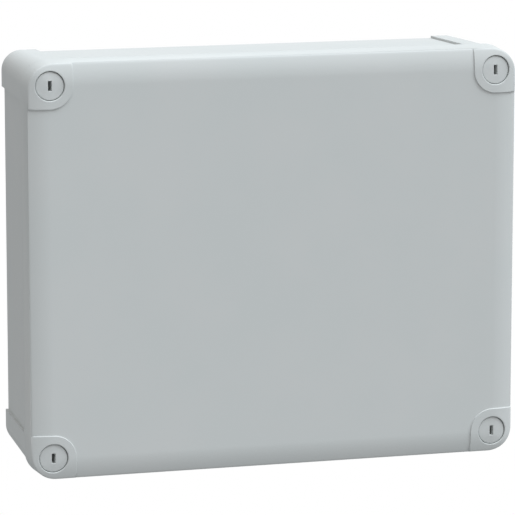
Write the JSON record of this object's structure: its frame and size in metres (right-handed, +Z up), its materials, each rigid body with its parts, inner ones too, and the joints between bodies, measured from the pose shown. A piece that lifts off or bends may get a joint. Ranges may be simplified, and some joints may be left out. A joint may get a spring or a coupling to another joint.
{
  "type": "electrical junction box",
  "caption": "Wall-mounted moulded junction box with a soft-edged lid held by slotted quarter-turn corner screws, and a rail of screw terminals inside.",
  "frame": {"origin": "centre of the back face, on the wall's plane", "axes": "+X to the right seen from the front, +Y into the wall (the lid faces -Y), +Z up"},
  "size_m": [0.291, 0.088, 0.241],
  "materials": {
    "abs_case": "light grey, finely textured moulding",
    "polyamide_screw": "light grey, fine satin",
    "gasket_foam": "closed-cell foam, matt",
    "natural_nylon": "natural nylon, satin",
    "brass": "turned and knurled",
    "zinc_plated_steel": "clear passivated zinc",
    "tinned_copper": "tin plate on copper",
    "terminal_polyamide": "mid grey moulding",
    "green_yellow_polyamide": "green and yellow moulding",
    "stop_polyamide": "grey moulding"
  },
  "bodies": {
    "case": {"rear_case": "abs_case", "plate_inserts": "brass", "din_rail": "zinc_plated_steel", "rail_screws": "zinc_plated_steel", "terminal_1": "terminal_polyamide", "terminal_2": "terminal_polyamide", "terminal_3": "terminal_polyamide", "terminal_4": "terminal_polyamide", "terminal_5": "terminal_polyamide", "terminal_6": "terminal_polyamide", "terminal_7": "terminal_polyamide", "terminal_8": "terminal_polyamide", "terminal_9": "terminal_polyamide", "terminal_10": "terminal_polyamide", "current_bars": "tinned_copper", "clamp_cages": "zinc_plated_steel", "clamp_screws": "zinc_plated_steel", "end_plate": "terminal_polyamide", "earth_terminal": "green_yellow_polyamide", "earth_foot": "zinc_plated_steel", "earth_bar": "tinned_copper", "end_stop_left": "stop_polyamide", "end_stop_right": "stop_polyamide", "end_stop_screws": "zinc_plated_steel"},
    "cover": {"lid": "abs_case", "lid_gasket": "gasket_foam", "captive_washers": "natural_nylon"},
    "screw_top_left": {"lid_screw_top_left": "polyamide_screw"},
    "screw_top_right": {"lid_screw_top_right": "polyamide_screw"},
    "screw_bottom_left": {"lid_screw_bottom_left": "polyamide_screw"},
    "screw_bottom_right": {"lid_screw_bottom_right": "polyamide_screw"}
  },
  "joints": [
    {"name": "lid_lift", "type": "slide", "parent": "case", "child": "cover", "axis": [0, -1, 0], "range_m": [0, 0.15]},
    {"name": "screw_top_left_turn", "type": "hinge", "parent": "cover", "child": "screw_top_left", "pos_m": [-0.132, -0.08, 0.107], "axis": [0, -1, 0], "range_deg": [0, 90]},
    {"name": "screw_top_right_turn", "type": "hinge", "parent": "cover", "child": "screw_top_right", "pos_m": [0.132, -0.08, 0.107], "axis": [0, -1, 0], "range_deg": [0, 90]},
    {"name": "screw_bottom_left_turn", "type": "hinge", "parent": "cover", "child": "screw_bottom_left", "pos_m": [-0.132, -0.08, -0.107], "axis": [0, -1, 0], "range_deg": [0, 90]},
    {"name": "screw_bottom_right_turn", "type": "hinge", "parent": "cover", "child": "screw_bottom_right", "pos_m": [0.132, -0.08, -0.107], "axis": [0, -1, 0], "range_deg": [0, 90]}
  ]
}
